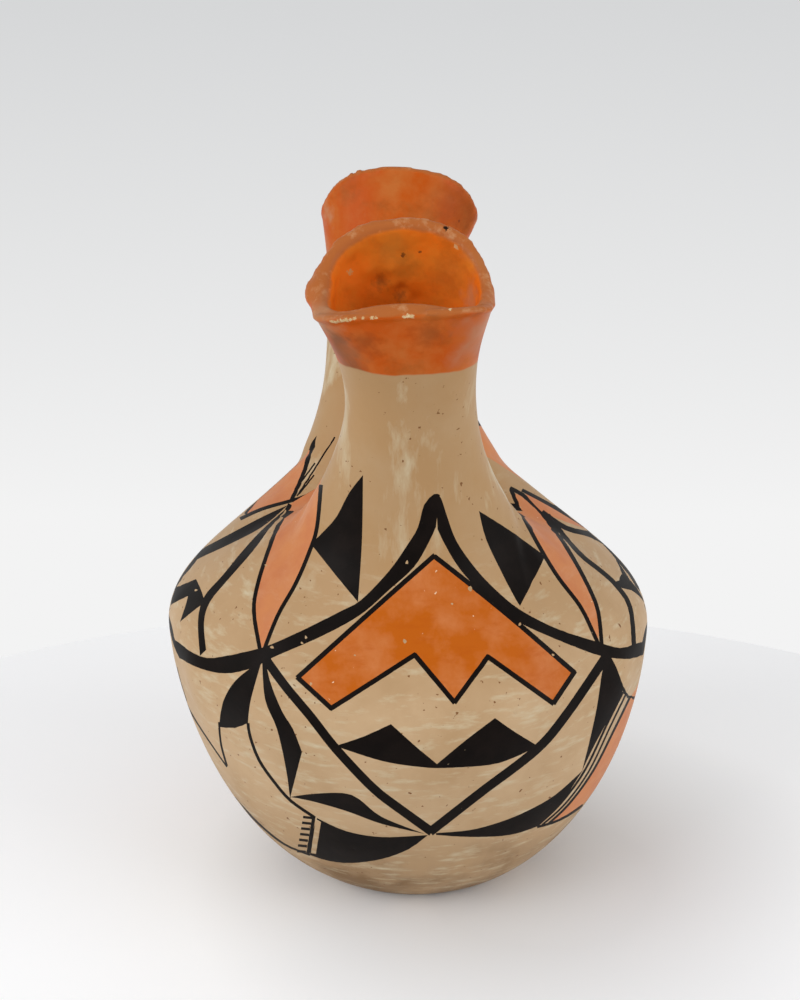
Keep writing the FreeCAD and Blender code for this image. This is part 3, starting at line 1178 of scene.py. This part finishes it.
@dataclass(frozen=True)
class Finish:
    """What all the coats share: a base colour that varies, a sheen and a fine relief.

    A scale counts a pattern's cells on one metre of clay. The flecks are 2 mm across, the
    streaks 8 mm, the rubbed patches 11 mm, the polishing strokes 3 mm and the thumbed
    lumps 7 mm, and the pinholes are 5 mm apart.
    """

    name: str
    main: str
    second: str
    third: str
    patch_mm: float
    sheen: float
    rough: float
    fleck: str
    fleck_share: float
    neck: str | None = None
    # The tone towards the foot, a painted shade under the belly.
    foot: str | None = None
    rim: "RimTones | None" = None
    lumps: float = 0.0
    ior: float = 1.5
    cloud_lift: float = 40.0 * MM
    cloud_limits: Limits = (0.40, 0.70)
    neck_limits: Limits = (106.0 * MM, 146.0 * MM)
    foot_shade_limits: Limits = (66.0 * MM, 30.0 * MM)
    streak_scale: float = 130.0
    level_draw: tuple[float, float, float] = (0.7, 0.7, 3.0)
    level_limits: Limits = (0.52, 0.80)
    upright_draw: tuple[float, float, float] = (0.5, 0.5, 0.1)
    upright_limits: Limits = (0.51, 0.68)
    upright_rise: Limits = (128.0 * MM, 160.0 * MM)
    fleck_scale: float = 520.0
    fleck_edge: float = 0.03
    rub_scale: float = 90.0
    rub_smoother: float = 0.08
    rub_rougher: float = 0.10
    stroke_scale: float = 300.0
    stroke_share: float = 0.5
    pinhole_scale: float = 210.0
    pinhole_reach: float = 0.16
    lump_scale: float = 150.0
    bump_strength: float = 0.16
    bump_depth: float = 0.35 * MM

    def material(self, marks: list[PlacedMark]) -> bpy.types.Material:
        """Builds the coat as a node material.

        Args:
            marks: The rims' stains, chips, painted shade and painted reflection, for a coat that has a rim.

        Returns:
            The material.
        """
        material = new_material(self.name)
        tree = material.node_tree
        place = add(tree, "ShaderNodeTexCoord").outputs["Object"]
        colour = self.colour(tree, place)
        if self.rim:
            colour = self.rim.band(tree, place, colour, marks)
        relief = self.relief(tree, place)
        shader = add(tree, "ShaderNodeBsdfPrincipled", None, Base_Color=colour,
                     Roughness=self.rough_map(tree, place), Normal=relief)
        shader.inputs["IOR"].default_value = self.ior
        shader.inputs["Specular IOR Level"].default_value = self.sheen
        add(tree, "ShaderNodeOutputMaterial", None, Surface=shader.outputs["BSDF"])
        return material

    def colour(self, tree: Tree, place: Socket) -> Socket:
        """Mixes the coat's tones in cloudy patches and streaks, and strews fine flecks on it.

        Args:
            tree: The coat's node tree.
            place: The place on the clay.

        Returns:
            The coat's colour.
        """
        clouds = add(tree, "ShaderNodeTexNoise", None, Vector=place, Scale=1000.0 / self.patch_mm, Detail=5.0,
                     Roughness=0.6).outputs["Fac"]
        height = add(tree, "ShaderNodeSeparateXYZ", None, Vector=place).outputs["Z"]
        uneven = add(tree, "ShaderNodeMath", TIMES_PLUS, in_0=clouds, in_1=self.cloud_lift,
                     in_2=height).outputs[0]
        colour = linear(self.main)
        if self.neck:
            colour = lay(tree, colour, linear(self.neck), uneven, self.neck_limits)
        if self.foot:
            # Painted shade: the colour darkens towards the foot.
            colour = lay(tree, colour, linear(self.foot), uneven, self.foot_shade_limits)
        colour = lay(tree, colour, linear(self.second), clouds, self.cloud_limits)
        level = self.streaks(tree, place, self.level_draw, self.level_limits)
        upright = self.streaks(tree, place, self.upright_draw, self.upright_limits)
        risen = add(tree, "ShaderNodeMapRange", None, Value=uneven, From_Min=self.upright_rise[0],
                    From_Max=self.upright_rise[1])
        share = add(tree, "ShaderNodeMix", {"data_type": "FLOAT"}, in_0=risen.outputs["Result"], in_2=level,
                    in_3=upright)
        colour = add(tree, "ShaderNodeMix", COLOUR_MIX, in_0=share.outputs[0], in_6=colour,
                     in_7=linear(self.third)).outputs[2]
        dots = add(tree, "ShaderNodeTexNoise", None, Vector=place, Scale=self.fleck_scale, Detail=2.0,
                   Roughness=0.5)
        full = 1.0 - self.fleck_share
        return lay(tree, colour, linear(self.fleck), dots.outputs["Fac"], (full - self.fleck_edge, full))

    def streaks(self, tree: Tree, place: Socket, draw: tuple[float, float, float], limits: Limits) -> Socket:
        """Gives the share of the third tone in streaks.

        Args:
            tree: The coat's node tree.
            place: The place on the clay.
            draw: The scale along each axis, small where the streaks are drawn out.
            limits: The values of the noise at which a streak begins and is full.

        Returns:
            The share, from 0 to 1.
        """
        drawn = add(tree, "ShaderNodeMapping", None, Vector=place, Scale=draw)
        grain = add(tree, "ShaderNodeTexNoise", None, Vector=drawn.outputs["Vector"], Scale=self.streak_scale,
                    Detail=6.0, Roughness=0.65)
        share = add(tree, "ShaderNodeMapRange", None, Value=grain.outputs["Fac"], From_Min=limits[0],
                    From_Max=limits[1])
        return share.outputs["Result"]

    def rough_map(self, tree: Tree, place: Socket) -> Socket:
        """Gives the polish its uneven, stone-rubbed sheen.

        Args:
            tree: The coat's node tree.
            place: The place on the clay.

        Returns:
            The roughness.
        """
        rubs = add(tree, "ShaderNodeTexNoise", None, Vector=place, Scale=self.rub_scale, Detail=4.0)
        rough = add(tree, "ShaderNodeMapRange", None, Value=rubs.outputs["Fac"],
                    To_Min=self.rough - self.rub_smoother, To_Max=self.rough + self.rub_rougher)
        return rough.outputs["Result"]

    def relief(self, tree: Tree, place: Socket) -> Socket:
        """Gives the surface its polishing strokes and its pinholes, and thumbed clay its lumps.

        Args:
            tree: The coat's node tree.
            place: The place on the clay.

        Returns:
            The direction in which the surface faces.
        """
        strokes = add(tree, "ShaderNodeTexNoise", None, Vector=place, Scale=self.stroke_scale, Detail=3.0)
        pits = add(tree, "ShaderNodeTexVoronoi", None, Vector=place, Scale=self.pinhole_scale)
        hole = add(tree, "ShaderNodeMapRange", None, Value=pits.outputs["Distance"],
                   From_Max=self.pinhole_reach)
        height = add(tree, "ShaderNodeMath", TIMES_PLUS, in_0=strokes.outputs["Fac"], in_1=self.stroke_share,
                     in_2=hole.outputs["Result"])
        if self.lumps:
            thumbed = add(tree, "ShaderNodeTexNoise", None, Vector=place, Scale=self.lump_scale, Detail=2.0)
            height = add(tree, "ShaderNodeMath", TIMES_PLUS, in_0=thumbed.outputs["Fac"], in_1=self.lumps,
                         in_2=height.outputs[0])
        bump = add(tree, "ShaderNodeBump", None, Strength=self.bump_strength, Distance=self.bump_depth,
                   Height=height.outputs[0])
        return bump.outputs["Normal"]


@dataclass(frozen=True)
class RimTones:
    """The orange of one side of the two rims, with its worn lips, stains and chips.

    A scale counts a pattern's cells on one metre: the brushed edge wavers every 17 mm, the
    light patches are 14 mm and the dark ones 22 mm across, and the rubbed specks 4 mm.
    """

    main: str
    light: str
    dark: str
    lip: str
    lip_worn: str
    band_mm: float
    lip_reach_mm: Limits = (0.8, 1.7)
    edge_scale: float = 60.0
    edge_sway: float = 3.0 * MM
    edge_mm: Limits = (1.2, 1.8)
    light_scale: float = 70.0
    light_limits: Limits = (0.42, 0.68)
    dark_scale: float = 45.0
    dark_limits: Limits = (0.52, 0.78)
    rub_scale: float = 260.0
    rub_limits: Limits = (0.54, 0.74)
    rub_sway_mm: float = 1.2
    rub_middle_mm: float = 0.3

    def band(self, tree: Tree, place: Socket, under: Socket, marks: list[PlacedMark]) -> Socket:
        """Lays the band over a coat, its lower edge brushed by hand.

        Args:
            tree: The coat's node tree.
            place: The place on the clay.
            under: The coat's own colour.
            marks: The rims' stains, chips, painted shade and painted reflection, each with its middle.

        Returns:
            The colour with the band on it.
        """
        height = add(tree, "ShaderNodeSeparateXYZ", None, Vector=place).outputs["Z"]
        waver = add(tree, "ShaderNodeTexNoise", None, Vector=place, Scale=self.edge_scale, Detail=3.0)
        edge = add(tree, "ShaderNodeMath", TIMES_PLUS, in_0=waver.outputs["Fac"], in_1=self.edge_sway,
                   in_2=height)
        clouds = add(tree, "ShaderNodeTexNoise", None, Vector=place, Scale=self.light_scale, Detail=5.0,
                     Roughness=0.6)
        tone = lay(tree, linear(self.main), linear(self.light), clouds.outputs["Fac"], self.light_limits)
        stains = add(tree, "ShaderNodeTexNoise", None, Vector=place, Scale=self.dark_scale, Detail=6.0,
                     Roughness=0.65)
        tone = lay(tree, tone, linear(self.dark), stains.outputs["Fac"], self.dark_limits)
        tone = self.worn_lip(tree, place, tone)
        for middle, mark in marks:
            tone = blot(tree, place, tone, middle, mark)
        limits = ((self.band_mm + self.edge_mm[0]) * MM, (self.band_mm + self.edge_mm[1]) * MM)
        return lay(tree, under, tone, edge.outputs[0], limits)

    def worn_lip(self, tree: Tree, place: Socket, tone: Socket) -> Socket:
        """Pales the lips, where hands and the table have rubbed the colour thin.

        Args:
            tree: The coat's node tree.
            place: The place on the clay.
            tone: The rim's colour so far.

        Returns:
            The colour with the worn lip on it.
        """
        gap = add(tree, "ShaderNodeAttribute", {"attribute_name": "lip_gap"})
        rub = add(tree, "ShaderNodeTexNoise", None, Vector=place, Scale=self.rub_scale, Detail=5.0,
                  Roughness=0.65)
        uneven = add(tree, "ShaderNodeMath", TIMES_PLUS, in_0=rub.outputs["Fac"], in_1=self.rub_sway_mm,
                     in_2=gap.outputs["Fac"])
        worn = lay(tree, linear(self.lip), linear(self.lip_worn), rub.outputs["Fac"], self.rub_limits)
        full, end = self.lip_reach_mm
        return lay(tree, tone, worn, uneven.outputs[0], (end + self.rub_middle_mm, full + self.rub_middle_mm))


# The ragged edge of a mark: the scale of its rags for a reach of 1 mm, how far they sway
# the edge, where the edge lies on average, and how wide it is on each side, all but the
# first in shares of the mark's reach. A chip, below a certain reach, has a harder edge.
RAG_SCALE = 1400.0
RAG_SWAY = 2.4
RAG_MIDDLE = 2.1
EDGE_OUTWARD = 0.3
EDGE_INWARD = 0.7
CHIP_BELOW_MM = 2.0
CHIP_SOFTNESS = 0.3


def blot(tree: Tree, place: Socket, under: Socket, middle: Vector, mark: Mark) -> Socket:
    """Adds one mark with a ragged edge.

    Args:
        tree: The coat's node tree.
        place: The place on the clay.
        under: The colour so far.
        middle: The mark's middle.
        mark: The mark.

    Returns:
        The colour with the mark on it.
    """
    gap = add(tree, "ShaderNodeVectorMath", DISTANCE, in_0=place, in_1=tuple(middle))
    rags = add(tree, "ShaderNodeTexNoise", None, Vector=place, Scale=RAG_SCALE / mark.reach_mm, Detail=3.0)
    reach = mark.reach_mm * MM
    edge = add(tree, "ShaderNodeMath", TIMES_PLUS, in_0=rags.outputs["Fac"], in_1=RAG_SWAY * reach,
               in_2=gap.outputs["Value"])
    soft = CHIP_SOFTNESS if mark.reach_mm < CHIP_BELOW_MM else 1.0
    share = add(tree, "ShaderNodeMapRange", None, Value=edge.outputs[0],
                From_Min=(RAG_MIDDLE + EDGE_OUTWARD * soft) * reach,
                From_Max=(RAG_MIDDLE - EDGE_INWARD * soft) * reach)
    share = add(tree, "ShaderNodeMath", TIMES, in_0=share.outputs["Result"], in_1=mark.strength)
    both = add(tree, "ShaderNodeMix", COLOUR_MIX, in_0=share.outputs[0], in_6=under, in_7=linear(mark.colour))
    return both.outputs[2]


# Orange ochre on the outside of the rims, smoked and rubbed, and inside, in a brighter and deeper copy that
# paints light into the hollow, where shade would darken it.
RIM_OUTSIDE = RimTones("#BC5004", "#BE6A2E", "#8A4812", "#B06430", "#C48E62", 192.5)
# Painted light: the inside's tones are brighter than the outside's, to make up for the shade of the hollow.
RIM_INSIDE_WITH_PAINTED_LIGHT = RimTones("#DE6C0C", "#D4761C", "#AE560C", "#B06430", "#C48E62", 184.0)

# Cream slip, rubbed with a stone before firing: it gives a warm, cloudy cream with brown clouds, pale upright
# streaks where the slip lies thick, and a low sheen. It turns dark brown towards the foot, which is painted
# shade.
CREAM_SLIP = Finish("stone_polished_slip", "#C0A27E", "#B2926C", "#CABD9F", 26.0, 0.12, 0.42, "#7A5230",
                    0.262, "#AE8A60", "#80603A", RIM_OUTSIDE)

# Black from boiled plant juice and iron: nearly matt, brownish, worn to specks.
PLANT_BLACK = Finish("plant_black", "#0E0907", "#17100D", "#120C0A", 9.0, 0.06, 0.45, "#7A6A54", 0.21)

# Orange ochre clay, polished: it fires cloudy, from brick orange to a pale salmon.
ORANGE_OCHRE = Finish("orange_ochre", "#BA5C0A", "#C87A46", "#B45406", 15.0, 0.12, 0.42, "#E2C7A5", 0.225)

# The thinner wash of the leaves, through which the cream slip shows.
SALMON_WASH = Finish("salmon_wash", "#C98150", "#C0744A", "#CC9068", 12.0, 0.16, 0.45, "#E2C7A5", 0.23)

# Bare fired clay inside the hollow: dull brown and thumbed, as no one rubbed it.
BARE_CLAY = Finish("bare_clay", "#9A6338", "#7F4E2A", "#8C5A34", 20.0, 0.18, 0.7, "#5A3820", 0.26, None, None,
                   RIM_INSIDE_WITH_PAINTED_LIGHT, 14.0)

FINISHES = {
    Paint.SLIP: CREAM_SLIP,
    Paint.BLACK: PLANT_BLACK,
    Paint.ORANGE: ORANGE_OCHRE,
    Paint.SALMON: SALMON_WASH,
    Paint.BARE: BARE_CLAY,
}


def dress(piece: bpy.types.Object, view: PhotoView) -> None:
    """Gives the vessel its coats in the order of the paints, with the marks of its rims.

    Args:
        piece: The vessel.
        view: The camera in whose frame the marks are placed.
    """
    tree = BVHTree.FromObject(piece, bpy.context.evaluated_depsgraph_get())
    marks = [(view.clay_at(tree, mark.pixel), mark) for mark in MARKS]
    for paint in Paint:
        piece.data.materials.append(FINISHES[paint].material(marks))


@dataclass
class Studio:
    """The plain table, the pale background and the soft light."""

    table_radius: float = 340.0 * MM
    table_middle: float = -152.0 * MM
    table_thick: float = 8.0 * MM
    table_sides: int = 256
    table_white: str = "#E9EAEC"
    table_rough: float = 0.7
    table_glow: float = 0.2
    # Where the painted shadow on the table lies, and how far it reaches.
    painted_shadow_middle: tuple[float, float, float] = (45.0 * MM, -30.0 * MM, 0.0)
    painted_shadow_reach: Limits = (40.0 * MM, 120.0 * MM)
    backdrop_away: float = 1.9
    backdrop_half: float = 2.5
    back_top: str = "#D6D7D8"
    back_low: str = "#F3F3F3"
    back_heights: Limits = (-0.65, 0.05)
    panel_size: float = 0.9
    panel_aim: tuple[float, float, float] = (0.0, 0.0, 0.1)
    room_glow: float = 0.55

    def build(self) -> None:
        """Builds the stage and lights it."""
        self.table()
        self.backdrop()
        self.lights()

    def table(self) -> None:
        """Builds the round white table top that the vase stands on."""
        deselect()
        bpy.ops.mesh.primitive_cylinder_add(vertices=self.table_sides, radius=self.table_radius,
                                            depth=self.table_thick,
                                            location=(0.0, self.table_middle, -0.5 * self.table_thick))
        table = bpy.context.active_object
        table.name = "table_top"
        bpy.ops.object.transform_apply(location=True)
        table.data.materials.append(self.table_material())

    def table_material(self) -> bpy.types.Material:
        """Builds the matt white, which glows a little for the camera, a painted light that fades out round
        the foot into a painted shadow.
        """
        material = bpy.data.materials.new("table_white")
        material.use_nodes = True
        tree = material.node_tree
        shader = tree.nodes["Principled BSDF"]
        shader.inputs["Base Color"].default_value = linear(self.table_white)
        shader.inputs["Roughness"].default_value = self.table_rough
        shader.inputs["Emission Color"].default_value = (1.0, 1.0, 1.0, 1.0)
        seen = add(tree, "ShaderNodeLightPath").outputs["Is Camera Ray"]
        place = add(tree, "ShaderNodeTexCoord").outputs["Object"]
        # Painted shadow: the glow fades out towards a spot beside the foot.
        away = add(tree, "ShaderNodeVectorMath", DISTANCE, in_0=place, in_1=self.painted_shadow_middle)
        lit = add(tree, "ShaderNodeMapRange", None, Value=away.outputs["Value"], From_Min=self.painted_shadow_reach[0],
                  From_Max=self.painted_shadow_reach[1])
        share = add(tree, "ShaderNodeMath", TIMES, in_0=seen, in_1=lit.outputs["Result"])
        glow = add(tree, "ShaderNodeMath", TIMES, in_0=share.outputs[0], in_1=self.table_glow)
        tree.links.new(glow.outputs[0], shader.inputs["Emission Strength"])
        return material

    def backdrop(self) -> None:
        """Builds the background paper, which glows with painted light that is paler towards the table."""
        deselect()
        bpy.ops.mesh.primitive_plane_add(size=2.0 * self.backdrop_half,
                                         location=(0.0, self.backdrop_away, 0.0),
                                         rotation=(math.radians(90.0), 0.0, 0.0))
        paper = bpy.context.active_object
        paper.name = "background_paper"
        bpy.ops.object.transform_apply(location=True, rotation=True)
        material = new_material("background_paper")
        tree = material.node_tree
        place = add(tree, "ShaderNodeTexCoord").outputs["Object"]
        height = add(tree, "ShaderNodeSeparateXYZ", None, Vector=place).outputs["Z"]
        # Painted light: the glowing paper is paler towards the table.
        colour = lay(tree, linear(self.back_low), linear(self.back_top), height, self.back_heights)
        glow = add(tree, "ShaderNodeEmission", None, Color=colour, Strength=1.0)
        add(tree, "ShaderNodeOutputMaterial", None, Surface=glow.outputs["Emission"])
        paper.data.materials.append(material)
        paper.visible_shadow = False

    def lights(self) -> None:
        """Sets a broad soft light on each side, a little to the front, and a pale room."""
        self.panel("left_panel", (-1.0, -0.6, 0.6), 9.0)
        self.panel("right_panel", (1.05, -0.5, 0.5), 7.0)
        world = bpy.data.worlds.new("pale_room")
        world.use_nodes = True
        glow = world.node_tree.nodes["Background"]
        glow.inputs["Color"].default_value = (1.0, 1.0, 1.0, 1.0)
        glow.inputs["Strength"].default_value = self.room_glow
        bpy.context.scene.world = world

    def panel(self, name: str, place: tuple[float, float, float], watts: float) -> None:
        """Adds one square light panel that faces the vase.

        Args:
            name: The panel's name.
            place: Where it hangs.
            watts: How strong it is.
        """
        data = bpy.data.lights.new(name, "AREA")
        data.size = self.panel_size
        data.energy = watts
        panel = bpy.data.objects.new(name, data)
        panel.location = place
        aim = Vector(self.panel_aim) - Vector(place)
        panel.rotation_euler = aim.to_track_quat("-Z", "Y").to_euler()
        bpy.context.scene.collection.objects.link(panel)


def main() -> None:
    """Builds the vase and the stage, and reports each."""
    bpy.context.scene.view_settings.view_transform = "Standard"
    view = PhotoView()
    piece = Vessel(view).build()
    dress(piece, view)
    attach(piece, "root")
    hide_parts("vase")
    log.info("painted vessel: %d faces", len(piece.data.polygons))
    Studio().build()
    log.info("table, background and lights are in place")
    view.place()
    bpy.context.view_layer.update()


if __name__ == "__main__":
    main()
